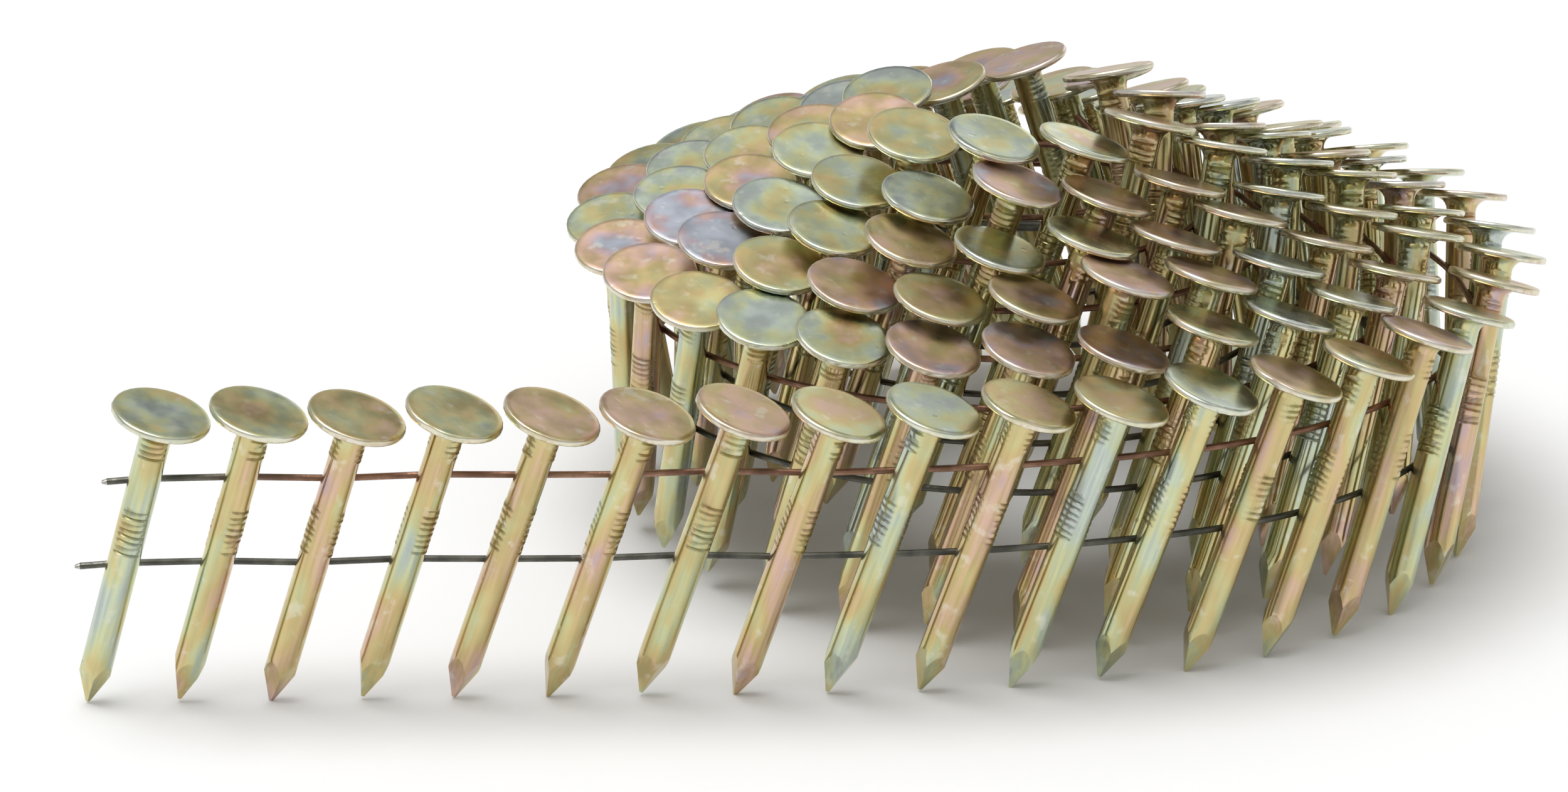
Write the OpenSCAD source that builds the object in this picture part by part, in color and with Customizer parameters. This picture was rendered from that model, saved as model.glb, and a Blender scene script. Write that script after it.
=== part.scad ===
// A coil of wire-collated roofing nails, with the outer end of its strip drawn out into a straight tail.
// The origin is on the axis of the coil, level with the lowest nail points. +X runs along the tail
// towards the coil, +Y from the tail towards the middle of the coil and +Z up. Sizes are in millimetres.

/* [Nail] */
// Length of a nail, from the top of its head to its point
nail_length = 31.75; // [28:0.05:45]
// Diameter of the shank
shank_d = 3.05; // [2.6:0.05:3.6]
// Diameter of the head
head_d = 9.6; // [8.4:0.1:11]
// Thickness of the head at its rim
head_t = 0.7; // [0.5:0.05:1.2]
// Chamfer around the top of the head
rim_chamfer = 0.12; // [0.05:0.01:0.25]
// Radius of the flare between the shank and the head
flare_r = 1.4; // [0.4:0.1:1.8]
// Length of the diamond point
point_length = 4.6; // [3:0.1:7]
// Width of the blunt end of the point
point_end = 0.3; // [0.1:0.05:0.6]

/* [Gripper marks] */
// Depth of a mark in the shank
mark_depth = 0.2; // [0.1:0.01:0.35]
// Width of a mark along the shank
mark_w = 0.4; // [0.2:0.05:0.5]
// Plain shank between the flare and the first upper mark
upper_mark_gap = 0.5; // [0.3:0.1:1.5]
// Number of upper marks
upper_marks = 4; // [1:1:5]
// Spacing of the upper marks
upper_mark_step = 0.6; // [0.55:0.05:0.8]
// From the upper wire down to the first middle mark
middle_mark_gap = 3.0; // [1.5:0.1:3.5]
// Number of middle marks
middle_marks = 6; // [1:1:7]
// Spacing of the middle marks
middle_mark_step = 0.9; // [0.6:0.05:1]

/* [Strip] */
// Number of nails on the strip
nails = 121; // [100:1:140]
// Number of nails on the straight tail
tail_nails = 8; // [4:1:10]
// Distance between neighbouring nails along the strip
pitch = 9.05; // [8.6:0.05:11]
// Lean of the nails along the strip, in degrees
lean = 18; // [12:0.5:24]
// Lean of the first nail, which the free end of the strip lets stand up a little
end_lean = 15; // [10:0.5:24]
// Number of nails over which the lean eases from the first nail's to that of the rest
eased_nails = 4; // [1:1:8]
// Lean of the nails away from the middle of the coil, on the tail and where the coil starts, in degrees
splay = 5; // [0:0.5:7]
// Angle that the strip turns through until the nails no longer lean outward
splay_turn = 1080; // [360:30:1440]
// Most that a nail sits higher on the wires than the lowest one
seat_scatter = 0.4; // [0:0.05:0.8]
// Diameter of the two wires
wire_d = 0.65; // [0.5:0.05:1.2]
// From the top of a head, along the nail, to the upper wire
upper_wire_drop = 7.3; // [6:0.1:9]
// From the upper wire, along the nail, to the lower wire
wire_spacing = 9.4; // [8:0.1:11]
// Depth to which a wire is welded into a shank
weld_depth = 0.15; // [0.1:0.01:0.25]
// Length of wire past the first nail and past the last one
wire_end = 4.4; // [2:0.1:6]
// Height to which the inner end of the upper wire is bent up
end_kick = 3.0; // [0:0.1:5]
// Gap between the wire links of neighbouring tail nails, at the middle of each bend
bend_gap = 0.2; // [0.15:0.01:0.3]

/* [Coil] */
// Radius of the coil at the inner end of the strip
core_radius = 12.0; // [11.5:0.1:25]
// Clearance between the heads of one turn and the shanks of the next turn in
turn_clearance = 0.25; // [0.2:0.01:1.5]
// Length of strip in the loose part of the outer turn, next to the lead-in arc
loose_length = 198; // [100:1:250]
// Clearance that the loose part has over that of the tight turns
loose_clearance = 2.4; // [0.5:0.1:4]
// Climb of each turn above the turn outside it
turn_rise = 2.7; // [2:0.05:4]
// Angle that the strip turns through before it starts to climb
climb_start = 130; // [0:5:360]
// Least gap between the heads of neighbouring turns
head_gap = 0.2; // [0.15:0.01:0.5]
// Length of the lead-in arc, between the tail and the coil
lead_length = 34; // [20:1:50]
// Angle through which the lead-in arc turns
lead_turn = 15.7; // [8:0.1:24]

/* [Hidden] */
$fn = 48;
// The angle that spreads nails evenly when it is added over and over
golden_angle = 137.5;
// Room that the cutters of marks and points have beyond the shank
cut_room = 1;
// Rings that a wire has in each nail pitch, and the sides of a ring
rings_per_pitch = 3;
wire_sides = 6;
// Pitches along a wire between two points whose distance counts as its gap to itself
gap_pitches = 4;
// Segments in the profile of the flare
flare_steps = 5;

shank_r = shank_d / 2;
head_r = head_d / 2;
wire_r = wire_d / 2;
head_underside = nail_length - head_t;
upper_mark_z = head_underside - flare_r - upper_mark_gap;
upper_wire_z = nail_length - upper_wire_drop;
lower_wire_z = upper_wire_z - wire_spacing;
middle_mark_z = upper_wire_z - middle_mark_gap;
// The strip's line runs through each nail's axis halfway between the wires
strip_z = (upper_wire_z + lower_wire_z) / 2;
// From the strip's line inward to the middle of a wire
wire_inset = shank_r + wire_r - weld_depth;

// Places on the strip are counted in pitches from the first nail: the ends of the tail and the lead-in arc
tail_end = tail_nails - 0.5;
lead_end = tail_end + lead_length / pitch;
loose_end = lead_end + loose_length / pitch;
turn_gap = head_r + shank_r + turn_clearance;
// The coil's radius shrinks by these amounts in each radian, in the tight turns and in the loose part
tight_step = turn_gap / (2 * PI);
loose_step = (turn_gap + loose_clearance) / (2 * PI);
tight_length = (nails - 1 - loose_end) * pitch;
tight_radius = sqrt(core_radius ^ 2 + 2 * tight_step * tight_length);
loose_radius = sqrt(tight_radius ^ 2 + 2 * loose_step * loose_length);
loose_turn = lead_turn + (loose_radius - tight_radius) / loose_step * 180 / PI;
loose_centre = (loose_step - tight_step) * along(loose_turn);
lead_radius = lead_length / (lead_turn * PI / 180);
lead_centre = loose_point(lead_turn) - lead_radius * outward(lead_turn);
tail_y = lead_centre.y - lead_radius;

function along(angle) = [cos(angle), sin(angle)];
function outward(angle) = [sin(angle), -cos(angle)];
// Point on a spiral that has a radius in the direction start and shrinks by step in each radian from there
function spiral_point(angle, radius, start, step) =
    (radius - step * (angle - start) * PI / 180) * outward(angle) - step * along(angle);
function loose_point(angle) = loose_centre + spiral_point(angle, loose_radius, lead_turn, loose_step);
// Angle through which such a spiral turns over a length of strip
function spiral_turn(length, radius, step) =
    (radius - sqrt(radius ^ 2 - 2 * step * length)) / step * 180 / PI;

// Direction in which the strip runs at a place on it, in degrees from +X
function heading(place) =
    place <= tail_end ? 0
    : place <= lead_end ? lead_turn * (place - tail_end) / (lead_end - tail_end)
    : place <= loose_end ? lead_turn + spiral_turn((place - lead_end) * pitch, loose_radius, loose_step)
    : loose_turn + spiral_turn((place - loose_end) * pitch, tight_radius, tight_step);

// Point on the strip's line, seen from above
function strip_point(place) =
    place <= tail_end ? [lead_centre.x - (tail_end - place) * pitch, tail_y]
    : place <= lead_end ? lead_centre + lead_radius * outward(heading(place))
    : place <= loose_end ? loose_point(heading(place))
    : spiral_point(heading(place), tight_radius, loose_turn, tight_step);

// Height that the coil's climb gives the strip where it runs in a direction
function climb(angle) = turn_rise * max(0, angle - climb_start) / 360;

function nail_lean(i) = lean + (end_lean - lean) * max(0, 1 - i / eased_nails);
function nail_splay(place) = splay * max(0, 1 - heading(place) / splay_turn);
function nail_seat(i) = seat_scatter * (1 + sin(golden_angle * i)) / 2;

HEADINGS = [for (i = [0 : nails - 1]) heading(i)];
// Distance that each nail reaches over the ground in every millimetre of its length
REACHES = [
    for (i = [0 : nails - 1])
        cos(nail_splay(i)) * sin(nail_lean(i)) * along(HEADINGS[i]) + sin(nail_splay(i)) * outward(HEADINGS[i])
];
HEAD_POINTS = [for (i = [0 : nails - 1]) strip_point(i) + (nail_length - head_t / 2 - strip_z) * REACHES[i]];
// Fall of each head's plane in every millimetre over the ground
HEAD_FALLS = [for (i = [0 : nails - 1]) REACHES[i] / (cos(nail_splay(i)) * cos(nail_lean(i)))];

// Least height of nail i over nail j that keeps their heads apart where one lies over the other, or undef
function height_over(i, j) =
    let (
        reach = head_d + 2 * head_gap,
        offset = HEAD_POINTS[i] - HEAD_POINTS[j],
        apart = norm(offset),
        half = sqrt(max(0, reach ^ 2 - apart ^ 2)) / 2,
        drops = [
            for (side = [-half, half])
                let (
                    from_i = -offset / 2 + side * [-offset.y, offset.x] / apart,
                    from_j = from_i + offset
                )
                HEAD_FALLS[i] * from_i - HEAD_FALLS[j] * from_j
        ]
    )
    apart < reach ? max(drops) + (head_t + head_gap) / (cos(lean) * cos(splay)) : undef;

// Heights of all the nail points: each nail sits on its seat, or higher where its head lies over another
function stack(z = []) =
    len(z) == nails ? z
    : let (
        i = len(z),
        seat = climb(HEADINGS[i]) + nail_seat(i),
        over = [for (j = [0 : 1 : i - 1]) let (h = height_over(i, j)) if (!is_undef(h)) z[j] + h]
    )
    stack(concat(z, [max(concat([seat], over))]));

STACKED = stack();
POINT_Z = [for (z = STACKED) z - min(STACKED)];

turns = ceil(HEADINGS[nails - 1] / 360);
TAIL = [1 : tail_nails];
TURNS = [1 : turns];

function nail_profile() = concat(
    [[0, 0], [shank_r, 0]],
    [
        for (k = [0 : flare_steps])
            let (angle = 90 * k / flare_steps)
            [shank_r + flare_r * (1 - cos(angle)), head_underside - flare_r * (1 - sin(angle))]
    ],
    [[head_r, head_underside], [head_r, nail_length - rim_chamfer], [head_r - rim_chamfer, nail_length],
        [0, nail_length]]
);

// A toothed cutter whose teeth sink into the shank, from height z down
module mark_cutter(z, count, step) {
    teeth = [
        for (k = [0 : count - 1], side = [1, 0, -1])
            [side == 0 ? -mark_depth : mark_depth, -k * step + side * mark_w / 2]
    ];
    bottom = -(count - 1) * step - mark_w / 2;
    translate([shank_r, 0, z])
        rotate([90, 0, 0])
            linear_extrude(2 * shank_d, center = true)
                polygon(concat([[cut_room, mark_w / 2]], teeth, [[cut_room, bottom]]));
}

module gripper_marks() {
    for (turn = [0, 180])
        rotate(turn) {
            mark_cutter(upper_mark_z, upper_marks, upper_mark_step);
            mark_cutter(middle_mark_z, middle_marks, middle_mark_step);
        }
}

// Four flats that meet in the blunt end of the point
module point_cutters() {
    flat_tilt = atan((shank_r - point_end / 2) / point_length);
    for (turn = [45 : 90 : 315])
        rotate(turn)
            translate([point_end / 2, 0, 0])
                rotate([0, flat_tilt, 0])
                    translate([0, -shank_d, -cut_room])
                        cube([shank_d, 2 * shank_d, 2 * point_length]);
}

// A nail that stands on its point at the origin
module nail() {
    difference() {
        rotate_extrude() polygon(nail_profile());
        gripper_marks();
        point_cutters();
    }
}

// Nail i in its place on the strip, turned about its own axis as it happens to lie
module strip_nail(i) {
    foot = strip_point(i) - strip_z * REACHES[i];
    color("darkkhaki")
        translate([foot.x, foot.y, POINT_Z[i]])
            rotate(HEADINGS[i])
                rotate([nail_splay(i), nail_lean(i), 0])
                    rotate(golden_angle * i)
                        nail();
}

module tail_nail(k) {
    strip_nail(k - 1);
}

module turn_nails(t) {
    for (i = [tail_nails : nails - 1])
        if (floor(HEADINGS[i] / 360) == t - 1)
            strip_nail(i);
}

// Distance along the strip from its line to the wire that crosses the nails at height z on them
function wire_shift(z) = (z - strip_z) * sin(lean);

// Middle of that wire
function wire_point(place, z, kick) =
    let (
        angle = heading(place),
        tilt = nail_splay(place),
        side = (z - strip_z) * sin(tilt) - wire_inset,
        p = strip_point(place) + wire_shift(z) * along(angle) + side * outward(angle),
        past_end = max(0, place - (nails - 1)) * pitch / wire_end
    )
    [p.x, p.y, climb(angle) - min(STACKED) + z * cos(lean) * cos(tilt) + kick * past_end];

function wire_ring(place, z, kick) =
    let (side = outward(heading(place)), middle = wire_point(place, z, kick))
    [
        for (k = [0 : wire_sides - 1])
            let (angle = 360 * k / wire_sides)
            middle + wire_r * [cos(angle) * side.x, cos(angle) * side.y, sin(angle)]
    ];

// Least gap of a wire to itself, measured between ring middles that are far enough apart along it
function least_gap(middles) =
    let (apart = gap_pitches * rings_per_pitch, last = len(middles) - 1)
    min([for (i = [0 : last - apart], j = [i + apart : last]) norm(middles[i] - middles[j])]) - wire_d;

// One unbroken wire from the last bend of the tail to the inner end of the coil
module coiled_wire(z, kick, name) {
    first = tail_end + (bend_gap / 2 - wire_shift(z)) / pitch;
    last = nails - 1 + wire_end / pitch;
    whole_steps = [floor(first * rings_per_pitch) + 1 : ceil(last * rings_per_pitch) - 1];
    places = concat([first], [for (k = whole_steps) k / rings_per_pitch], [last]);
    points = [for (place = places) each wire_ring(place, z, kick)];
    tube = [
        for (ring = [0 : len(places) - 2], k = [0 : wire_sides - 1])
            let (a = ring * wire_sides, next = (k + 1) % wire_sides)
            each [[a + k, a + next, a + wire_sides + k],
                [a + next, a + wire_sides + next, a + wire_sides + k]]
    ];
    start_cap = [for (k = [1 : wire_sides - 2]) [0, k + 1, k]];
    end = (len(places) - 1) * wire_sides;
    end_cap = [for (k = [1 : wire_sides - 2]) [end, end + k, end + k + 1]];
    echo(str("least gap of the ", name, " wire to itself, mm"),
        least_gap([for (place = places) wire_point(place, z, kick)]));
    polyhedron(points, concat(tube, start_cap, end_cap));
}

module upper_wire() {
    color("saddlebrown") coiled_wire(upper_wire_z, end_kick, "upper");
}

module lower_wire() {
    color("dimgray") coiled_wire(lower_wire_z, 0, "lower");
}

// The length of wire that tail nail k carries, from bend to bend, or from the free end on the first nail
module wire_link(k, z) {
    nail_place = wire_point(k - 1, z, 0);
    start = k == 1 ? nail_place.x - wire_end : strip_point(k - 1.5).x + bend_gap / 2;
    end = strip_point(k - 0.5).x - bend_gap / 2;
    translate([start, nail_place.y, nail_place.z])
        rotate([0, 90, 0])
            cylinder(h = end - start, r = wire_r);
}

module upper_wire_link(k) {
    color("saddlebrown") wire_link(k, upper_wire_z);
}

module lower_wire_link(k) {
    color("dimgray") wire_link(k, lower_wire_z);
}

upper_wire();
lower_wire();
for (t = TURNS)
    turn_nails(t);
for (k = TAIL) {
    tail_nail(k);
    upper_wire_link(k);
    lower_wire_link(k);
}
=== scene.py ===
# %% [markdown]
# # A coil of wire-collated roofing nails
#
# A roofing nailer is fed from a coil: a long strip of short nails with wide flat heads, welded side by side to two
# thin wires and wound up. Here the outer end of the strip is drawn out into a straight tail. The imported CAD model
# says where every nail and wire is, so nothing is placed by hand: each solid is measured and gets its real surface,
# rolled and struck steel under a shiny, uneven yellow chromate. A nail is designed in millimetres, and everything is
# placed in metres, which is Blender's unit.

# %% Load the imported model
import math
import random

import bmesh
import bpy
from mathutils import Matrix, Vector


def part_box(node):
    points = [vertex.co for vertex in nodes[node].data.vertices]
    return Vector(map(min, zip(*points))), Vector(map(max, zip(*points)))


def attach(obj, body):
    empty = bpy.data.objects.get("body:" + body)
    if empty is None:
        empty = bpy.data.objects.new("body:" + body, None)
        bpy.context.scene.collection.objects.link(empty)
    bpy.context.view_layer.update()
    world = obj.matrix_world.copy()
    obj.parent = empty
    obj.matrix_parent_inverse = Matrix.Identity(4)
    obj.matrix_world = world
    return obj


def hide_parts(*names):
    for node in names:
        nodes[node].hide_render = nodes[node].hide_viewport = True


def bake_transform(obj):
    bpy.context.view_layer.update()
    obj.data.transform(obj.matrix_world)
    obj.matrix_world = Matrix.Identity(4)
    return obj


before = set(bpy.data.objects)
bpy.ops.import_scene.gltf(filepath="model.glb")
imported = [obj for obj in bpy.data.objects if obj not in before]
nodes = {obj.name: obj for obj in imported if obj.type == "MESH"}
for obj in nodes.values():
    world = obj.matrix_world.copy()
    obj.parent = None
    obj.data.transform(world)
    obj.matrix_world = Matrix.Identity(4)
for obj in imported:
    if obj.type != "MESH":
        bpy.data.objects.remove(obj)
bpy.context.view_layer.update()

MM = 0.001
tail_count = sum(name.startswith("tail_nail_") for name in nodes)
turn_count = sum(name.startswith("turn_") for name in nodes)
print("tail nails:", tail_count, "turns of the coil:", turn_count)

# %% [markdown]
# ## The camera
#
# The photograph was taken from a little above, from far away with a long lens, so the front and the back of the coil
# are drawn at nearly the same scale. The angles below came from matching the places of the heads and the points, and
# the lens follows from the width of the picture and its focal length in pixels. A Track To constraint could aim the
# camera too, but one matrix also holds its small roll and its exact distance.

# %% Place the camera
PHOTO_WIDTH = 2500
FOCAL_PIXELS = 9577
SENSOR_WIDTH = 36
CAMERA_AIM = Vector((-25.6, -3.0, 13.3)) * MM
CAMERA_DISTANCE = 621.5 * MM
CAMERA_ELEVATION = math.radians(20.13)
CAMERA_YAW = math.radians(2.72)
CAMERA_ROLL = math.radians(0.33)
FARTHEST_SEEN = 10

camera_data = bpy.data.cameras.new("camera")
camera_data.sensor_width = SENSOR_WIDTH
camera_data.lens = FOCAL_PIXELS / PHOTO_WIDTH * SENSOR_WIDTH
camera_data.clip_end = FARTHEST_SEEN
camera = bpy.data.objects.new("camera", camera_data)
bpy.context.scene.collection.objects.link(camera)
bpy.context.scene.camera = camera
camera_turn = (
    Matrix.Rotation(-CAMERA_YAW, 4, "Z")
    @ Matrix.Rotation(math.pi / 2 - CAMERA_ELEVATION, 4, "X")
    @ Matrix.Rotation(CAMERA_ROLL, 4, "Z")
)
camera.matrix_world = Matrix.Translation(CAMERA_AIM) @ camera_turn @ Matrix.Translation((0, 0, CAMERA_DISTANCE))
print("lens:", round(camera_data.lens, 1), "mm")

# %% [markdown]
# ## Finding the nails
#
# A CAD node holds one nail or all the nails of a turn, as loose triangles with their place in the mesh. Merging the
# doubled corners makes each nail one island of joined points. Blender can separate a mesh by loose parts, but only
# the points are needed here, so a short walk from point to point collects them.

# %% Separate the solids
DOUBLES = 0.001


def islands(mesh):
    """The separate solids of a merged mesh, each as a list of points."""
    seen = set()
    found = []
    for first in mesh.verts:
        front = [] if first in seen else [first]
        seen.add(first)
        points = []
        while front:
            vert = front.pop()
            points.append(vert.co.copy())
            near = [edge.other_vert(vert) for edge in vert.link_edges]
            fresh = [other for other in near if other not in seen]
            seen.update(fresh)
            front.extend(fresh)
        if points:
            found.append(points)
    return found


def merged(node):
    """A copy of a CAD node's mesh whose triangles are joined."""
    solid = bmesh.new()
    solid.from_mesh(nodes[node].data)
    bmesh.ops.remove_doubles(solid, verts=solid.verts, dist=DOUBLES * MM)
    return solid


def solids_in(node):
    solid = merged(node)
    found = islands(solid)
    solid.free()
    return found


tail_solids = [solids_in(f"tail_nail_{k}")[0] for k in range(1, tail_count + 1)]
turn_solids = [solids_in(f"turn_{t}_nails") for t in range(1, turn_count + 1)]
print("nails in each turn:", [len(solids) for solids in turn_solids])

# %% [markdown]
# A solid nail shows how it stands: the blunt end of its point and the flat top of its head give its axis, and a corner
# of the square point says how it is turned about that axis. The places could be copied from the CAD source as numbers,
# but read from the solids they stay right when the source changes.

# %% Read each nail's place from its solid
FLAT = 0.09 * MM
FAR_END = 0.3 * MM
AXIS_PASSES = 3


def middle(points):
    return sum(points, Vector()) / len(points)


def level_points(points, axis, top):
    """The points that lie on the flat at one end of an axis."""
    limit = (max if top else min)(point.dot(axis) for point in points)
    return [point for point in points if abs(point.dot(axis) - limit) < FLAT]


def nail_matrix(points):
    """Where a nail stands: its origin at the point, Z along the shank and X to a corner of the square point."""
    centre = middle(points)
    tip = max(points, key=lambda point: (point - centre).length)
    reach = max((point - tip).length for point in points)
    axis = (middle([point for point in points if (point - tip).length > reach - FAR_END]) - tip).normalized()
    for _ in range(AXIS_PASSES):
        foot_corners = level_points(points, axis, top=False)
        foot = middle(foot_corners)
        axis = (middle(level_points(points, axis, top=True)) - foot).normalized()
    side = (foot_corners[0] - foot).normalized()
    across = axis.cross(side).normalized()
    turned = Matrix((across.cross(axis), across, axis)).transposed()
    return Matrix.Translation(foot) @ turned.to_4x4()


tail_nails = [nail_matrix(points) for points in tail_solids]
turns = [[nail_matrix(points) for points in solids] for solids in turn_solids]
print("the first nail's point, in mm:", [round(part / MM, 1) for part in tail_nails[0].translation])

# %% [markdown]
# ## One nail
#
# A roofing nail is made from wire in one stroke: dies grip the wire and leave their teeth in it, a punch upsets the
# head, and two cutters pinch off the point. A nail could be sculpted, but that would suit one nail, not a hundred. So
# the same steps are taken here, and first comes half of the nail's outline: from the middle of the slightly dished
# head over its rounded rim, and down the shank. It has three points for each tooth of the dies.

# %% The outline of a nail
NAIL_LENGTH = 31.75
SHANK_RADIUS = 1.525
HEAD_RADIUS = 4.8
HEAD_THICKNESS = 0.7
RIM_RADIUS = 0.3
DISH = [(0, 0.07), (1.6, 0.07), (3.1, 0.04), (4.1, 0.005)]
FLARE_RADIUS = 1.35
POINT_LENGTH = 4.6
ABOVE_POINT = (4, 0.3)
UPPER_MARKS = [29.15 - 0.6 * k for k in range(4)]
MIDDLE_MARKS = [21.45 - 0.64 * k for k in range(8)]
MARK_HALF_WIDTH = 0.16
MARK_ROOM = 0.4


def arc(centre, radius, start, end, steps):
    """Points on a round stretch of an outline, in degrees."""
    angles = [math.radians(start + (end - start) * k / steps) for k in range(steps + 1)]
    return [(centre[0] + radius * math.cos(a), centre[1] + radius * math.sin(a)) for a in angles]


def nail_outline():
    """Radius and height, from the middle of the head over its rim and down the shank to the point."""
    top = NAIL_LENGTH
    under = top - HEAD_THICKNESS
    rim = HEAD_RADIUS - RIM_RADIUS
    dish = [(radius, top - depth) for radius, depth in DISH]
    upper_rim = arc((rim, top - RIM_RADIUS), RIM_RADIUS, start=82, end=5, steps=4)
    lower_rim = arc((rim, under + RIM_RADIUS), RIM_RADIUS, start=-5, end=-85, steps=4)
    neck = arc((SHANK_RADIUS + FLARE_RADIUS, under - FLARE_RADIUS), FLARE_RADIUS, start=95, end=180, steps=5)
    heights = []
    for marks in (UPPER_MARKS, MIDDLE_MARKS):
        heights += [marks[0] + MARK_ROOM]
        heights += [mark + side * MARK_HALF_WIDTH for mark in marks for side in (1, 0, -1)]
        heights += [marks[-1] - MARK_ROOM]
    heights += [POINT_LENGTH + above for above in ABOVE_POINT]
    shank = [(SHANK_RADIUS, height) for height in heights + [0]]
    return dish + upper_rim + lower_rim + neck + shank + [(0, 0)]


print("points in the outline:", len(nail_outline()))

# %% [markdown]
# Head and shank are round, so the outline is spun about the nail's axis. Two cylinders could be bevelled into much the
# same form, but the spin makes a ring of points at each height of the outline, and the die marks need those rings. No
# two real nails are quite alike, so a few kinds are made, each with random numbers of its own.

# %% Spin the outline
NAIL_KINDS = 6
NAIL_SIDES = 32


def spin_nail():
    nail = bmesh.new()
    ring = [nail.verts.new((radius, 0, height)) for radius, height in nail_outline()]
    lines = [nail.edges.new(pair) for pair in zip(ring, ring[1:])]
    bmesh.ops.spin(
        nail, geom=ring + lines, cent=(0, 0, 0), axis=(0, 0, 1), angle=2 * math.pi, steps=NAIL_SIDES, use_merge=True
    )
    bmesh.ops.remove_doubles(nail, verts=nail.verts, dist=DOUBLES)
    bmesh.ops.recalc_face_normals(nail, faces=nail.faces)
    return nail


kinds = [(spin_nail(), random.Random(kind)) for kind in range(NAIL_KINDS)]
print("kinds of nail:", len(kinds), "faces of a plain one:", len(kinds[0][0].faces))

# %% [markdown]
# The teeth of the dies leave two sets of short grooves on opposite sides of the shank. A bump texture could draw them,
# but the shank's outline would stay smooth. So rings of the shank are moved: the middle ring of each mark is pressed
# in from both sides, and the rings beside it rise into small lips. How far a point was pressed is kept as an
# attribute, which colours the marks darker, most in their grooves, and makes them duller.

# %% Press the marks of the dies
MARK_DEPTH = 0.06
MARK_LIP = 0.07
MARK_FORCE = (0.4, 1.3)
MARK_SLOPE = 0.07
MARK_EDGE = 0.45
MARK_FULL = 0.8
LIP_MASK_SHARE = 0.4
SAME_RING = 0.01


def press_marks(nail, chance):
    """The teeth of the dies, on the two sides that face along X."""
    mark_mask = nail.verts.layers.float.new("nail_mark_mask")
    for mark in UPPER_MARKS + MIDDLE_MARKS:
        force = chance.uniform(*MARK_FORCE)
        slope = chance.uniform(-MARK_SLOPE, MARK_SLOPE)
        for vert in [vert for vert in nail.verts if abs(vert.co.z - mark) < MARK_HALF_WIDTH + SAME_RING]:
            groove = abs(vert.co.z - mark) < SAME_RING
            side = (abs(vert.co.x) / SHANK_RADIUS - MARK_EDGE) / (MARK_FULL - MARK_EDGE)
            grip = force * max(0, min(1, side))
            swell = 1 + grip * (-MARK_DEPTH if groove else MARK_LIP) / SHANK_RADIUS
            vert.co.x *= swell
            vert.co.y *= swell
            vert.co.z += vert.co.y * slope
            # The mask colours the marks darker, most in the grooves and a little on the lips, and makes them duller.
            vert[mark_mask] = grip if groove else grip * LIP_MASK_SHARE


for nail, chance in kinds:
    press_marks(nail, chance)
print("marks on each nail:", len(UPPER_MARKS + MIDDLE_MARKS))

# %% [markdown]
# The cutters leave a point with four flats. Scaling down the lowest ring would make a round cone instead. So each flat
# is a plane that cuts the shank open, and the hole is filled again. A narrow bevel then softens the edges, because a
# perfectly sharp edge never catches the light.

# %% Cut the point
POINT_END = 0.3
POINT_ROOM = 1
POINT_EDGE = 0.06
POINT_EDGE_ANGLE = math.radians(13)


def cut_point(nail):
    tilt = math.atan((SHANK_RADIUS - POINT_END / 2) / POINT_LENGTH)
    for quarter in range(4):
        angle = math.radians(45 + 90 * quarter)
        side = Vector((math.cos(angle), math.sin(angle), 0))
        cut = bmesh.ops.bisect_plane(
            nail,
            geom=nail.verts[:] + nail.edges[:] + nail.faces[:],
            plane_co=side * POINT_END / 2,
            plane_no=side * math.cos(tilt) - Vector((0, 0, math.sin(tilt))),
            clear_outer=True,
        )
        rim = [part for part in cut["geom_cut"] if isinstance(part, bmesh.types.BMEdge)]
        bmesh.ops.holes_fill(nail, edges=rim, sides=0)
    bmesh.ops.recalc_face_normals(nail, faces=nail.faces)
    low = [edge for edge in nail.edges if max(vert.co.z for vert in edge.verts) < POINT_LENGTH + POINT_ROOM]
    edges = [edge for edge in low if len(edge.link_faces) == 2 and edge.calc_face_angle() > POINT_EDGE_ANGLE]
    bmesh.ops.bevel(
        nail, geom=edges, offset=POINT_EDGE, affect="EDGES", segments=2, profile=0.5, material=-1, clamp_overlap=True
    )


for nail, _ in kinds:
    cut_point(nail)
print("faces of the pointed nails:", [len(nail.faces) for nail, _ in kinds])

# %% [markdown]
# A head is struck, not turned on a lathe, so it is never quite round or square to its nail. A Displace modifier could
# roughen it, but real heads have a few clear flats on the rim instead. So the rim is pushed in at a few random places,
# and the head is turned a little askew. Before that, each point's place on the straight nail is kept as an attribute
# for the finish, with room for the numbers that each copy of the nail gets later.

# %% Set the heads
NECK_HEIGHT = NAIL_LENGTH - HEAD_THICKNESS - FLARE_RADIUS
RIM_FLATS = (2, 4)
RIM_FLAT_DEPTH = (0.03, 0.22)
RIM_FLAT_SHARE = 0.8
HEAD_SKEW = 1.2


def keep_places(nail):
    place = nail.verts.layers.float_vector.new("nail_place")
    nail.verts.layers.float_vector.new("nail_tint")
    for vert in nail.verts:
        vert[place] = vert.co


def set_head(nail, chance):
    """Flattens the rim in a few places and sets the head a little askew."""
    head = [vert for vert in nail.verts if vert.co.z > NECK_HEIGHT]
    for _ in range(chance.randint(*RIM_FLATS)):
        angle = chance.uniform(0, 2 * math.pi)
        side = Vector((math.cos(angle), math.sin(angle), 0))
        limit = HEAD_RADIUS - chance.uniform(*RIM_FLAT_DEPTH)
        for vert in head:
            vert.co -= side * max(0, vert.co.dot(side) - limit) * RIM_FLAT_SHARE
    lean = Matrix.Rotation(math.radians(chance.uniform(-HEAD_SKEW, HEAD_SKEW)), 3, "X")
    bmesh.ops.rotate(nail, verts=head, cent=Vector((0, 0, NECK_HEIGHT)), matrix=lean)


nail_kinds = []
for nail, chance in kinds:
    keep_places(nail)
    set_head(nail, chance)
    nail_kinds.append(bpy.data.meshes.new(f"nail kind {len(nail_kinds)}"))
    nail.to_mesh(nail_kinds[-1])
    nail.free()
print("faces of the nails:", [len(mesh.polygons) for mesh in nail_kinds])

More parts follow.
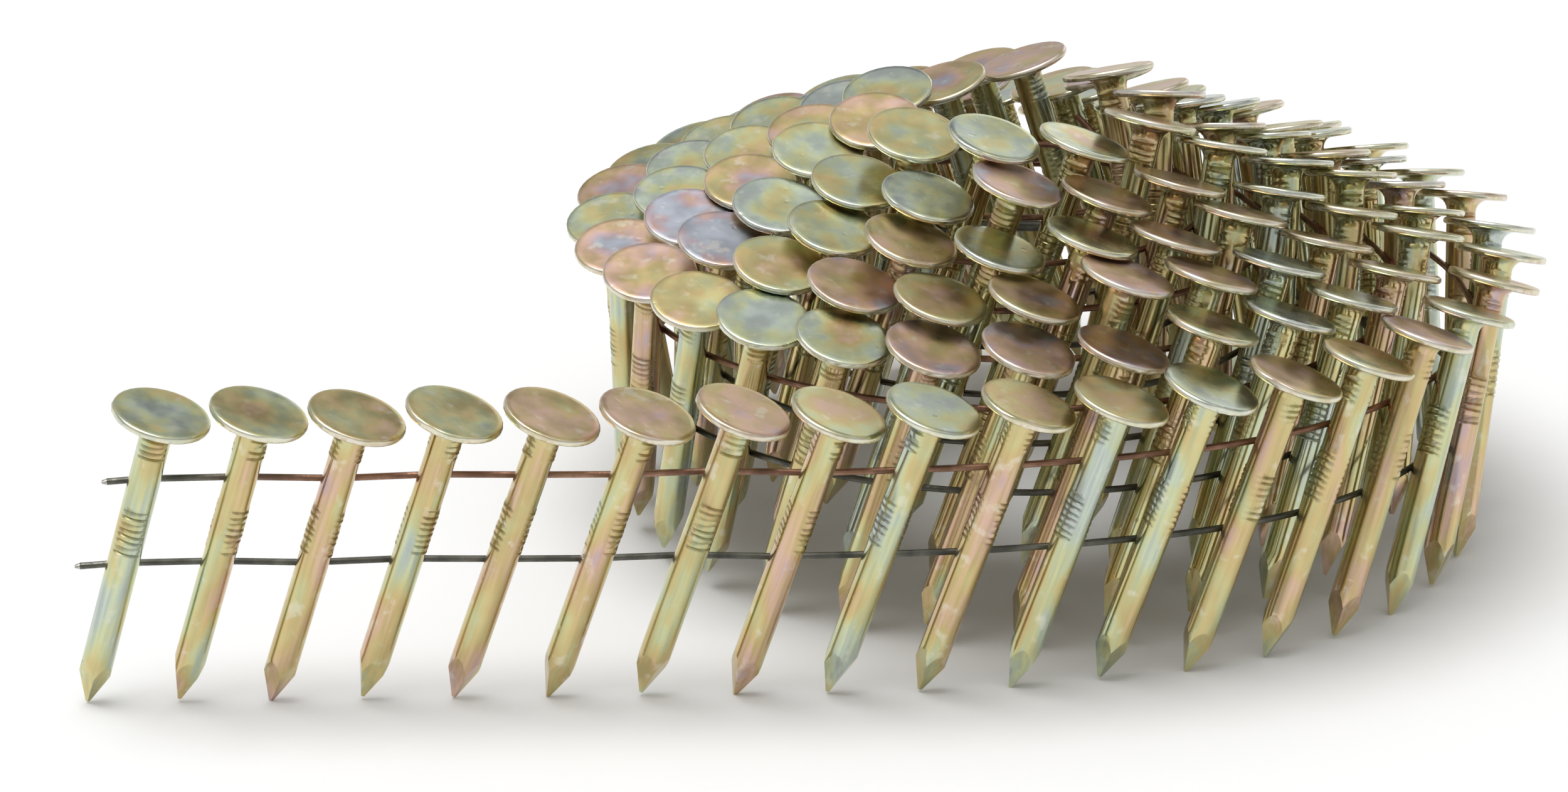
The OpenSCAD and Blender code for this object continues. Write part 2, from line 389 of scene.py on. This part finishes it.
# %% [markdown]
# ## Building blocks for finishes
#
# A finish in Blender is a tree of shader nodes. It can be drawn by hand in the Shader Editor, but in a script it is
# easier to read and to change when a node and its inputs fit on one line. These helpers do that, so the finishes below
# read like sums. Colours are noted as a screen shows them and turned into amounts of light.

# %% Helpers for shader nodes
def linear(colour):
    """A colour as a screen shows it, from 0 to 255, as the light that Blender counts with."""
    parts = [part / 255 for part in colour]
    light = [part / 12.92 if part < 0.04045 else ((part + 0.055) / 1.055) ** 2.4 for part in parts]
    return (*light, 1)


def add_node(tree, kind, inputs=None, **settings):
    """A shader node with its settings, and with values or other nodes' sockets on its inputs."""
    node = tree.nodes.new(kind)
    for name, value in settings.items():
        setattr(node, name, value)
    for key, value in (inputs or {}).items():
        if isinstance(value, bpy.types.NodeSocket):
            tree.links.new(value, node.inputs[key])
        else:
            node.inputs[key].default_value = value
    return node


def math_node(tree, operation, *values):
    return add_node(tree, "ShaderNodeMath", dict(enumerate(values)), operation=operation).outputs[0]


def vector_node(tree, operation, *vectors):
    return add_node(tree, "ShaderNodeVectorMath", dict(enumerate(vectors)), operation=operation).outputs


def span(tree, value, low, high, to_low=0.0, to_high=1.0):
    """Carries a value smoothly from one range to another."""
    inputs = {"Value": value, "From Min": low, "From Max": high, "To Min": to_low, "To Max": to_high}
    return add_node(tree, "ShaderNodeMapRange", inputs, interpolation_type="SMOOTHSTEP").outputs[0]


def noise(tree, vector, scale, detail):
    inputs = {"Vector": vector, "Scale": scale, "Detail": detail}
    return add_node(tree, "ShaderNodeTexNoise", inputs).outputs[0]


print("middle grey as light:", round(linear((128, 128, 128))[0], 2))

# %% [markdown]
# ## The chromate on the nails
#
# The nails are zinc plated and dipped in yellow chromate. What is left is a clear film, thinner than a wavelength of
# light, whose colour depends on its thickness: steel blue, pale green, straw, gold, rose and mauve. A painted image
# could show it, but would repeat on every nail. So one number, the thickness, drives the colour, and it is worked out
# from attributes: the place on the nail and three random numbers of the nail's own. Under the film is bare metal, so
# the shader is a metal.

# %% Start the nails' finish
def new_finish(name):
    finish = bpy.data.materials.new(name)
    finish.use_nodes = True
    return finish, finish.node_tree, finish.node_tree.nodes["Principled BSDF"]


nail_finish, tree, shader = new_finish("yellow chromate on zinc")
place = add_node(tree, "ShaderNodeAttribute", attribute_name="nail_place").outputs["Vector"]
tint = add_node(tree, "ShaderNodeAttribute", attribute_name="nail_tint").outputs["Vector"]
mark_mask = add_node(tree, "ShaderNodeAttribute", attribute_name="nail_mark_mask").outputs["Fac"]
own = add_node(tree, "ShaderNodeSeparateXYZ", {0: tint}).outputs
height = add_node(tree, "ShaderNodeSeparateXYZ", {0: place}).outputs["Z"]
shader.inputs["Metallic"].default_value = 1
print("inputs of the nails' finish: place, tint and grime")

# %% [markdown]
# A film is never even. Broad patches run over the whole nail. On the shank the die has drawn everything out into long
# thin streaks, while a head only has soft clouds. One noise for all could be stretched half way, but it would look
# wrong on both. So there are two finer patterns, and the height on the nail chooses between them. The nail's own
# numbers shift the patterns, so no two nails have the same.

# %% Lay out the patterns
NAIL_SHIFT = (70, 70, 70)
STREAKED = (1, 1, 0.05)
DRAWN_OUT = (1, 1, 0.45)
FLATTENED = (1, 1, 0)
HEAD_EDGE = (NAIL_LENGTH - 0.6, NAIL_LENGTH - 0.2)
HEAD_MIDDLE = (3.9, 0.3)


def stretched(vector, stretch):
    return vector_node(tree, "MULTIPLY", vector, stretch)["Vector"]


shifted = vector_node(tree, "MULTIPLY_ADD", tint, NAIL_SHIFT, place)["Vector"]
radius = vector_node(tree, "LENGTH", stretched(place, FLATTENED))["Value"]
on_head = span(tree, height, *HEAD_EDGE)
on_shank = span(tree, height, *reversed(HEAD_EDGE))
broad = noise(tree, stretched(shifted, DRAWN_OUT), scale=0.27, detail=2.0)
clouds = math_node(tree, "MULTIPLY", on_head, noise(tree, shifted, scale=0.4, detail=2.0))
streaks = math_node(tree, "MULTIPLY", on_shank, noise(tree, stretched(shifted, STREAKED), scale=2.2, detail=3.0))
fine = math_node(tree, "ADD", clouds, streaks)
head_middle = math_node(tree, "MULTIPLY", on_head, span(tree, radius, *HEAD_MIDDLE))
print("nodes for the patterns:", len(tree.nodes))

# %% [markdown]
# The thickness is a sum: the nail's own average, another one for its head, the broad patches, the finer patterns, and
# a spot in the middle of the head. Each share is a factor, and some have an offset. Layers of mixed colours could do
# this too, but with a sum the colours always follow each other in the order of a real film. A colour ramp turns the
# sum into the film's colour.

# %% Colour the film
FILM = [
    (0.00, (187, 196, 190)),
    (0.14, (193, 204, 184)),
    (0.28, (200, 204, 160)),
    (0.40, (204, 194, 142)),
    (0.52, (203, 182, 130)),
    (0.64, (206, 179, 144)),
    (0.76, (209, 177, 157)),
    (0.88, (191, 170, 174)),
    (1.00, (173, 178, 188)),
]
NAIL_SHARE = (0.4, -0.77)
HEAD_SHARE = (0.7, 0.02)
SPOT_SHARE = (0.7, -0.3)
FINE_SHARE = 0.45
SHANK_DRIFT = 1.5
HEAD_DRIFT = 0.85


def ramp(tree, value, stops):
    """A colour ramp with stops of a position and a colour in light."""
    node = add_node(tree, "ShaderNodeValToRGB", {0: value})
    while len(node.color_ramp.elements) < len(stops):
        node.color_ramp.elements.new(0.5)
    for element, (position, light) in zip(node.color_ramp.elements, stops):
        element.position = position
        element.color = light
    return node.outputs["Color"]


def colour_ramp(tree, value, stops):
    return ramp(tree, value, [(position, linear(colour)) for position, colour in stops])


spot = math_node(tree, "MULTIPLY_ADD", own["Y"], *SPOT_SHARE)
head_shift = math_node(tree, "MULTIPLY_ADD", own["Z"], *HEAD_SHARE)
drift = span(tree, on_head, 0, 1, SHANK_DRIFT, HEAD_DRIFT)
thickness = math_node(tree, "MULTIPLY_ADD", own["X"], *NAIL_SHARE)
for pattern, share in ((broad, drift), (fine, FINE_SHARE), (head_middle, spot), (on_head, head_shift)):
    thickness = math_node(tree, "MULTIPLY_ADD", pattern, share, thickness)
film = colour_ramp(tree, thickness, FILM)
print("film colours:", len(FILM))

# %% [markdown]
# Nails rub against each other, so high places are worn to pale zinc, and a few specks hold some grime. The rims are
# pale too, partly as wear and partly as a painted highlight, and the die marks are coloured darker, most in their
# grooves. This could be painted on each nail by hand, but masks from noise and from the distance to the nail's axis
# do it for all of them at once. Each span below says which values of a mask are carried to which amounts.

# %% Wear the film, paint highlights on the rims and darken the marks
PALE_ZINC_AND_HIGHLIGHT = (230, 227, 212)
SPECK_AND_MARK_DARK = (96, 84, 58)
SHADE_SPAN = (0.3, 0.7, 0.86, 1.08)
RIM_SPAN = (4.5, 4.72)
RIM_WEAR_AND_HIGHLIGHT_SPAN = (0.35, 0.6, 0.35, 0.8)
RUBBED_SPAN = (0.58, 0.72, 0.0, 0.4)
SPECK_SPAN = (0.74, 0.8, 0.0, 0.25)
MARK_DARKENING = 0.18


def mix(tree, share, one, other):
    inputs = {0: share, 6: one, 7: other}
    return add_node(tree, "ShaderNodeMix", inputs, data_type="RGBA").outputs[2]


shade = span(tree, fine, *SHADE_SPAN)
clouded = add_node(tree, "ShaderNodeHueSaturation", {"Color": film, "Value": shade}).outputs[0]
# Pale zinc on the rims: partly wear, partly a painted highlight on the rounded edge.
rim_wear_and_highlight = math_node(tree, "MULTIPLY", span(tree, radius, *RIM_SPAN), span(tree, fine, *RIM_WEAR_AND_HIGHLIGHT_SPAN))
rubbed = span(tree, noise(tree, shifted, scale=0.6, detail=3.0), *RUBBED_SPAN)
worn_and_highlit = mix(tree, math_node(tree, "MAXIMUM", rim_wear_and_highlight, rubbed), clouded, linear(PALE_ZINC_AND_HIGHLIGHT))
specks = span(tree, noise(tree, shifted, scale=3.5, detail=2.0), *SPECK_SPAN)
# Dark specks of grime, and the die marks darkened by how far they were pressed.
specks_and_marks = math_node(tree, "MAXIMUM", specks, math_node(tree, "MULTIPLY", mark_mask, MARK_DARKENING))
tree.links.new(mix(tree, specks_and_marks, worn_and_highlit, linear(SPECK_AND_MARK_DARK)), shader.inputs["Base Color"])
print("links for the colour:", len(tree.links))

# %% [markdown]
# A shank was drawn smooth by the die, and a struck head is a little duller. The roughness starts from that, differs
# from nail to nail, and follows the clouds and streaks. Small dents and a faint grain could be modelled, but at a few
# hundredths of a millimetre they only show in how they bend the light, so a bump is enough.

# %% Shape the gloss
HEAD_ROUGHNESS = 0.12
SHANK_ROUGHNESS = 0.02
NAIL_ROUGHNESS = 0.12
MARK_ROUGHNESS = 0.2
FINE_ROUGHNESS = 0.24
DENT_SPAN = (0.73, 0.8)
DENT_DEPTH = 0.05 * MM
GRAIN_DEPTH = 0.03 * MM

smooth = span(tree, on_shank, 0, 1, HEAD_ROUGHNESS, SHANK_ROUGHNESS)
roughness = math_node(tree, "MULTIPLY_ADD", own["Z"], NAIL_ROUGHNESS, smooth)
roughness = math_node(tree, "MULTIPLY_ADD", mark_mask, MARK_ROUGHNESS, roughness)
roughness = math_node(tree, "MULTIPLY_ADD", fine, FINE_ROUGHNESS, roughness)
tree.links.new(roughness, shader.inputs["Roughness"])
dents = span(tree, noise(tree, shifted, scale=0.7, detail=1.0), *DENT_SPAN)
dented = add_node(tree, "ShaderNodeBump", {"Strength": 0.3, "Distance": DENT_DEPTH, "Height": dents}, invert=True)
grain = {"Strength": 0.25, "Distance": GRAIN_DEPTH, "Height": fine, "Normal": dented.outputs[0]}
tree.links.new(add_node(tree, "ShaderNodeBump", grain).outputs[0], shader.inputs["Normal"])
print("links in the nails' finish:", len(tree.links))

# %% [markdown]
# ## All the nails
#
# Every nail on the strip is a copy of one of the kinds, moved to the place that was read from its solid, with three
# random numbers of its own for the finish. Instances of one mesh would be lighter, but all the nails of a CAD node
# have to be one piece with their places in its mesh. The heads of the tail and of the outer turn sit a little outward
# of square, so they are tipped. The seed was chosen for the tones of the heads at the front.

# %% Copy the nails to their places
NAIL_SEED = 183151
HEAD_TIP = math.radians(3)
TAIL_OUTWARD = Vector((0, -1, 0))
chance = random.Random(NAIL_SEED)


def tip_head(group, copies, place, outward):
    """Sets a head a little outward of square."""
    place_layer = group.verts.layers.float_vector["nail_place"]
    head = [vert for vert in copies if vert[place_layer].z > NECK_HEIGHT]
    neck = place @ Vector((0, 0, NECK_HEIGHT * MM))
    hinge = place.col[2].xyz.cross(outward).normalized()
    bmesh.ops.rotate(group, verts=head, cent=neck, matrix=Matrix.Rotation(HEAD_TIP, 3, hinge))


def nail_group(places, outwards=()):
    """One bmesh with a nail at each place, and with tipped heads where it is known which way is outward."""
    group = bmesh.new()
    for index, place in enumerate(places):
        start = len(group.verts)
        group.from_mesh(chance.choice(nail_kinds))
        group.verts.ensure_lookup_table()
        copies = group.verts[start:]
        own_numbers = [chance.random() for _ in range(3)]
        tint_layer = group.verts.layers.float_vector["nail_tint"]
        for vert in copies:
            vert[tint_layer] = own_numbers
        bmesh.ops.transform(group, matrix=place @ Matrix.Scale(MM, 4), verts=copies)
        if outwards:
            tip_head(group, copies, place, outwards[index])
    return group


tail_groups = [nail_group([place], [TAIL_OUTWARD]) for place in tail_nails]
from_axis = [Vector((*place.translation.xy, 0)).normalized() for place in turns[0]]
turn_groups = [nail_group(turns[0], from_axis)] + [nail_group(places) for places in turns[1:]]
print("points of the nails:", sum(len(group.verts) for group in tail_groups + turn_groups))

# %% [markdown]
# A bmesh only becomes visible as an object with a mesh. Smooth shading makes the round shank look round with few
# faces, and edges sharper than a limit stay crisp. A bevel on every edge would do that too, but with many more faces.
# Each piece takes over from the plain solids of a CAD node and moves with that node's body.

# %% Finish the nails
SHARP_ANGLE = math.radians(32)


def finish_piece(piece, name, node, finishes):
    """Makes a bmesh an object that stands for a CAD node."""
    mesh = bpy.data.meshes.new(name)
    piece.to_mesh(mesh)
    piece.free()
    mesh.shade_smooth()
    mesh.set_sharp_from_angle(angle=SHARP_ANGLE)
    for finish in finishes:
        mesh.materials.append(finish)
    made = bpy.data.objects.new(name, mesh)
    bpy.context.scene.collection.objects.link(made)
    if node:
        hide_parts(node)
    return made


for k, group in enumerate(tail_groups, 1):
    made = finish_piece(group, f"nail_{k}", f"tail_nail_{k}", [nail_finish])
    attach(made, f"tail_{k}")
for t, group in enumerate(turn_groups, 1):
    made = finish_piece(group, f"nails_of_turn_{t}", f"turn_{t}_nails", [nail_finish])
    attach(made, "coil")
    print(made.name, "faces:", len(made.data.polygons))

# %% [markdown]
# ## The wires
#
# Two wires hold the nails: the upper one is copper washed, the lower one is dark drawn steel. In the CAD model each is
# a tube of six-sided rings, with the tail cut into stiff links. The solids could be shaded smooth, but the six sides
# would still show in the wire's outline. So only the line of each wire is taken from them, by walking the tube ring by
# ring, and a rounder wire is drawn along it later.

# %% Find the line of each wire
WIRE_SIDES = 6
LINE_STEP = 0.5 * MM


def ring_middles(node, start):
    """The middles of a coiled wire's rings, walked from the end that is near a point."""
    tube = merged(node)
    ring = sorted(tube.verts, key=lambda vert: (vert.co - start).length)[:WIRE_SIDES]
    seen = set(ring)
    middles = []
    while ring:
        middles.append(middle([vert.co for vert in ring]))
        near = {edge.other_vert(vert) for vert in ring for edge in vert.link_edges}
        ring = sorted(near - seen, key=lambda vert: vert.index)
        seen.update(ring)
    tube.free()
    return middles


def evenly(points, step):
    """The same line with points at even steps along each stretch."""
    line = []
    for one, other in zip(points, points[1:]):
        parts = max(1, round((other - one).length / step))
        line += [one.lerp(other, part / parts) for part in range(parts)]
    return line + [points[-1]]


def link_ends(node):
    """The two ends of a straight link."""
    low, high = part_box(node)
    halfway = (low + high) / 2
    return Vector((low.x, halfway.y, halfway.z)), Vector((high.x, halfway.y, halfway.z))


def wire_line(wire):
    """A wire's whole line, from its free end inward."""
    links = [link_ends(f"{wire}_link_{k}") for k in range(1, tail_count + 1)]
    coiled = ring_middles(wire, links[-1][1])
    return evenly([links[0][0], *(end for _, end in links), *coiled], LINE_STEP)


wire_lines = {wire: wire_line(wire) for wire in ("upper_wire", "lower_wire")}
print("points of the wires:", {wire: len(line) for wire, line in wire_lines.items()})

# %% [markdown]
# The wires are welded to every shank on its inner side. A weld sits where a wire's line comes closest to a nail's
# axis, and sorting the welds along the line puts the nails in their order on the strip. The order of the solids in the
# CAD model could be used instead, but nothing promises that it is the order on the strip.

# %% Find the welds
all_nails = tail_nails + [place for places in turns for place in places]


def crossing(place, line):
    """Which point of a wire's line is closest to a nail's axis."""
    foot, axis = place.translation, place.col[2].xyz

    def miss(index):
        offset = line[index] - foot
        up = offset.dot(axis)
        return (offset - up * axis).length if 0 < up < NAIL_LENGTH * MM else 1

    return min(range(len(line)), key=miss)


def welds_on(line):
    """The nails in their order on the strip, each with the point of the line where it is welded."""
    return sorted(((crossing(place, line), place) for place in all_nails), key=lambda weld: weld[0])


wire_welds = {wire: welds_on(line) for wire, line in wire_lines.items()}
print("welds:", {wire: len({index for index, _ in welds}) for wire, welds in wire_welds.items()})

# %% [markdown]
# ## The wires' finishes
#
# Both wires are drawn metal with a dull, uneven skin. The copper wash on the upper one has worn down to grey steel
# near its free end. Two materials could be given to different faces, but there would be a hard border between them. So
# one material runs from one colour to the other along the strip. The ends were cut, so they show bright steel.

# %% Make the wires' finishes
COPPER_WASH = [(0.30, (108, 82, 68)), (0.50, (138, 104, 86)), (0.72, (164, 130, 108))]
DARK_STEEL = [(0.30, (76, 76, 71)), (0.50, (98, 98, 91)), (0.72, (124, 123, 114))]
BRIGHT_STEEL = [(0.35, (176, 174, 166)), (0.65, (222, 220, 212))]
WORN_FROM = -86 * MM
WORN_TO = -70 * MM
SKIN_SPAN = (0.3, 0.7, 0.3, 0.5)
SKIN_DEPTH = 0.02 * MM


def drawn_wire(name, wash):
    finish, tree, shader = new_finish(name)
    spot = add_node(tree, "ShaderNodeTexCoord").outputs["Object"]
    patches = noise(tree, spot, scale=400.0, detail=5.0)
    east = add_node(tree, "ShaderNodeSeparateXYZ", {0: spot}).outputs["X"]
    washed = span(tree, east, WORN_FROM, WORN_TO)
    colour = mix(tree, washed, colour_ramp(tree, patches, DARK_STEEL), colour_ramp(tree, patches, wash))
    tree.links.new(colour, shader.inputs["Base Color"])
    skin = noise(tree, spot, scale=3000.0, detail=3.0)
    tree.links.new(span(tree, skin, *SKIN_SPAN), shader.inputs["Roughness"])
    bump = add_node(tree, "ShaderNodeBump", {"Strength": 0.4, "Distance": SKIN_DEPTH, "Height": skin})
    tree.links.new(bump.outputs[0], shader.inputs["Normal"])
    shader.inputs["Metallic"].default_value = 1
    return finish


def cut_steel():
    finish, tree, shader = new_finish("cut steel")
    spot = add_node(tree, "ShaderNodeTexCoord").outputs["Object"]
    lines = noise(tree, spot, scale=5000.0, detail=2.0)
    tree.links.new(colour_ramp(tree, lines, BRIGHT_STEEL), shader.inputs["Base Color"])
    shader.inputs["Metallic"].default_value = 1
    shader.inputs["Roughness"].default_value = 0.35
    return finish


copper_washed = drawn_wire("copper washed wire", COPPER_WASH)
cut_end = cut_steel()
dark_drawn = drawn_wire("dark drawn wire", DARK_STEEL)
wire_finishes = {"upper_wire": [copper_washed, cut_end], "lower_wire": [dark_drawn, cut_end]}
print("wire finishes:", [finish.name for finish in (copper_washed, dark_drawn, cut_end)])

# %% [markdown]
# ## Drawing the wires
#
# On the real strip a wire is straight from nail to nail, with a slight kink at each weld, because some nails sit a
# little higher than others. A smooth curve through the welds would look like string. So each length of the tail's wire
# is a stretch of its own, lifted at its ends nearly as far as its two nails are. The free end droops a little, and the
# coiled rest follows the CAD line.

# %% Lay out the stretches of wire
SEAT_SHARE = 0.8
END_DROP = Vector((0, 0, -0.3)) * MM

usual_seat = middle([place.translation for place in tail_nails]).z
seat_lifts = [(place.translation.z - usual_seat) * SEAT_SHARE for place in tail_nails] + [0]


def kinked(line, welds, first):
    """The wire from a tail nail to the next nail, lifted at its ends with the nails there."""
    start, end = welds[first][0], welds[first + 1][0]
    lift, next_lift = seat_lifts[first], seat_lifts[first + 1]
    shares = [(index - start) / (end - start) for index in range(start, end + 1)]
    lifts = [lift + (next_lift - lift) * share for share in shares]
    return [line[start + step] + Vector((0, 0, raised)) for step, raised in enumerate(lifts)]


def drooping(line, welds):
    """The wire before the first nail, whose cut end droops a little."""
    stretch = line[: welds[0][0] + 1]
    lift = Vector((0, 0, seat_lifts[0]))
    steps = len(stretch) - 1
    return [point + lift + END_DROP * (1 - step / steps) for step, point in enumerate(stretch)]


free_ends, tail_stretches, coiled_lines = {}, {}, {}
for wire, line in wire_lines.items():
    welds = wire_welds[wire]
    free_ends[wire] = drooping(line, welds)
    tail_stretches[wire] = [kinked(line, welds, first) for first in range(tail_count)]
    coiled_lines[wire] = line[welds[tail_count][0]:]
print("stretches in the tail:", {wire: len(stretches) for wire, stretches in tail_stretches.items()})

# %% [markdown]
# A wire is a round rod of even thickness. A circle could be extruded along the line, but it would have to be turned at
# every point. A curve with a round bevel does that by itself. It is made a mesh at once, so that its ends can be
# shaped and welds can be added. The caps on its ends are the only faces with more than four corners, and show cut
# steel.

# %% Draw the stretches as tubes
WIRE_RADIUS = 0.325 * MM


def wire_tube(line):
    """A bmesh of a wire along a line."""
    curve = bpy.data.curves.new("wire", "CURVE")
    curve.dimensions = "3D"
    curve.bevel_depth = WIRE_RADIUS
    curve.bevel_resolution = 3
    curve.use_fill_caps = True
    spline = curve.splines.new("POLY")
    spline.points.add(len(line) - 1)
    for point, position in zip(spline.points, line):
        point.co = (*position, 1)
    drawn = bpy.data.objects.new("wire", curve)
    bpy.context.scene.collection.objects.link(drawn)
    mesh = drawn.evaluated_get(bpy.context.evaluated_depsgraph_get()).to_mesh()
    tube = bmesh.new()
    tube.from_mesh(mesh)
    bpy.data.objects.remove(drawn)
    bpy.data.curves.remove(curve)
    for face in tube.faces:
        face.material_index = int(len(face.verts) > 4)
    return tube


free_tubes = {wire: wire_tube(line) for wire, line in free_ends.items()}
span_tubes = {wire: [wire_tube(line) for line in stretches] for wire, stretches in tail_stretches.items()}
coiled_tubes = {wire: wire_tube(line) for wire, line in coiled_lines.items()}
print("faces of the coiled wires:", {wire: len(tube.faces) for wire, tube in coiled_tubes.items()})

# %% [markdown]
# Cutters snipped the wires' free ends, which pinched them flat and left bright sheared metal. A bevel or a boolean cut
# could shape such an end, but it is well under a millimetre wide. Pressing the last ring flat, and giving the nearest
# faces the finish of the cut, is enough.

# %% Pinch the free ends
CUT_LENGTH = 0.6 * MM
PINCH = 0.45
PINCH_REACH = WIRE_RADIUS * 1.1


def pinch(tube, end):
    """The mark of the cutters on a wire's end: pinched flat, and bright where the metal was sheared."""
    for face in tube.faces:
        if (face.calc_center_median() - end).length < CUT_LENGTH:
            face.material_index = 1
    for vert in tube.verts:
        if (vert.co - end).length < PINCH_REACH:
            vert.co.z = end.z + (vert.co.z - end.z) * PINCH


for wire, tube in free_tubes.items():
    pinch(tube, free_ends[wire][0])
    print(wire, "bright faces:", sum(face.material_index for face in tube.faces))

# %% [markdown]
# A weld is a small bead of metal, flattened between wire and shank. A remesh could melt the bead and the wire into one
# skin, but there are hundreds of welds, so each is only a squashed sphere of few faces, sunk into the wire. The beads
# of a wire are made in a mesh of their own and added in one step, which is much quicker than making each of them on
# the long wire.

# %% Weld the wires to the nails
BEAD = (0.65 * MM, 0.33 * MM, 0.42 * MM)
BEAD_OFFSET = 0.7


def add_bead(beads, line, index, place):
    """A weld between a wire and the nail that it crosses."""
    foot, axis = place.translation, place.col[2].xyz
    offset = line[index] - foot
    inward = -(offset - offset.dot(axis) * axis).normalized()
    along = (line[min(index + 1, len(line) - 1)] - line[max(index - 1, 0)]).normalized()
    up = along.cross(inward).normalized()
    turned = Matrix((along, up.cross(along), up)).transposed().to_4x4()
    middle_of_bead = Matrix.Translation(line[index] + inward * WIRE_RADIUS * BEAD_OFFSET)
    bead = middle_of_bead @ turned @ Matrix.Diagonal((*BEAD, 1))
    bmesh.ops.create_uvsphere(beads, u_segments=8, v_segments=5, radius=1, matrix=bead)


def weld(tube, line, welds):
    """Adds the beads of a wire to its tube."""
    beads = bmesh.new()
    for index, place in welds:
        add_bead(beads, line, index, place)
    mesh = bpy.data.meshes.new("beads")
    beads.to_mesh(mesh)
    beads.free()
    tube.from_mesh(mesh)
    bpy.data.meshes.remove(mesh)


for wire, line in wire_lines.items():
    for tube, stretch, place in zip(span_tubes[wire], tail_stretches[wire], tail_nails):
        weld(tube, stretch, [(0, place)])
    weld(coiled_tubes[wire], line, wire_welds[wire][tail_count:])
    print(wire, "faces with its welds:", len(coiled_tubes[wire].faces))

# %% [markdown]
# The tail can bend at every nail. A length of wire between two nails could be cut at the bend, but then a gap would
# open there. So it is one piece from one nail to the next; its place is baked into its mesh, and it is attached to
# no body. The free end rides on the first nail, and the coiled rest on the coil.

for wire, finishes in wire_finishes.items():
    made = finish_piece(free_tubes[wire], f"{wire}_free_end", None, finishes)
    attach(made, "tail_1")
    for k, tube in enumerate(span_tubes[wire], 1):
        made = finish_piece(tube, f"{wire}_span_{k}", f"{wire}_link_{k}", finishes)
        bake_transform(made)
    made = finish_piece(coiled_tubes[wire], f"{wire}_coiled", wire, finishes)
    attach(made, "coil")
    print(made.name, "faces:", len(made.data.polygons))

# %% [markdown]
# ## Floor and light
#
# Polished metal shows its surroundings, so the studio matters as much as the finish. The coil stands on a matte white
# floor, which the shanks mirror and which takes its soft shadow. A studio often has a sweep that curves up into a
# wall, but in this narrow view a wide flat floor looks the same and is simpler.

# %% Lay the floor
FLOOR_HALF_WIDTH = 4
FLOOR_LEVEL = 0.9


def grey(level):
    return (level, level, level, 1)


floor_mesh = bmesh.new()
bmesh.ops.create_grid(floor_mesh, x_segments=1, y_segments=1, size=FLOOR_HALF_WIDTH)
floor_data = bpy.data.meshes.new("floor")
floor_mesh.to_mesh(floor_data)
floor_mesh.free()
floor = bpy.data.objects.new("floor", floor_data)
bpy.context.scene.collection.objects.link(floor)
floor_finish, _, shader = new_finish("white floor")
shader.inputs["Base Color"].default_value = grey(FLOOR_LEVEL)
shader.inputs["Roughness"].default_value = 0.8
shader.inputs["Specular IOR Level"].default_value = 0.1
floor_data.materials.append(floor_finish)
print("floor:", 2 * FLOOR_HALF_WIDTH, "m wide")

# %% [markdown]
# The flat heads mirror the room. It is bright low down, has a dark band at about 35 degrees that gives the heads their
# deeper tone, and is brighter again towards the ceiling. A soft panel behind on the right is what the heads at the
# front mirror. A panorama of a real studio could light the scene as well, but a short list of heights and levels is
# easier to read and to change, and needs no file.

# %% Light the room
ROOM = [(0.0, 0.65), (0.48, 0.62), (0.53, 0.17), (0.6, 0.2), (0.66, 0.62), (0.85, 0.82), (1.0, 0.95)]
PANEL_SIDE = (0.421, 0.864, 0.276)
PANEL_EDGE = (0.95, 0.985)
PANEL_LEVEL = 1.3

world = bpy.data.worlds.new("studio")
world.use_nodes = True
bpy.context.scene.world = world
tree = world.node_tree
direction = add_node(tree, "ShaderNodeTexCoord").outputs["Generated"]
upward = add_node(tree, "ShaderNodeSeparateXYZ", {0: direction}).outputs["Z"]
room = ramp(tree, upward, [(position, grey(level)) for position, level in ROOM])
towards_panel = vector_node(tree, "DOT_PRODUCT", direction, PANEL_SIDE)["Value"]
lit_room = mix(tree, span(tree, towards_panel, *PANEL_EDGE), room, grey(PANEL_LEVEL))
tree.links.new(lit_room, tree.nodes["Background"].inputs["Color"])
print("levels of the room:", len(ROOM))

# %% [markdown]
# A round softbox hangs nearly overhead and gives the floor its brightness and the coil its shadow. A sun lamp would
# draw hard shadows, and a softbox that hangs lower would show as white glare on the heads when the coil is seen from
# the side.

# %% Hang the softbox
LAMP_SIZE = 1.3
LAMP_ENERGY = 20
LAMP_PLACE = Vector((-0.28, -0.12, 1.85))

lamp_data = bpy.data.lights.new("softbox", "AREA")
lamp_data.shape = "DISK"
lamp_data.size = LAMP_SIZE
lamp_data.energy = LAMP_ENERGY
lamp = bpy.data.objects.new("softbox", lamp_data)
bpy.context.scene.collection.objects.link(lamp)
lamp.matrix_world = Matrix.Translation(LAMP_PLACE) @ LAMP_PLACE.to_track_quat("Z", "Y").to_matrix().to_4x4()
bpy.context.scene.view_settings.view_transform = "Standard"
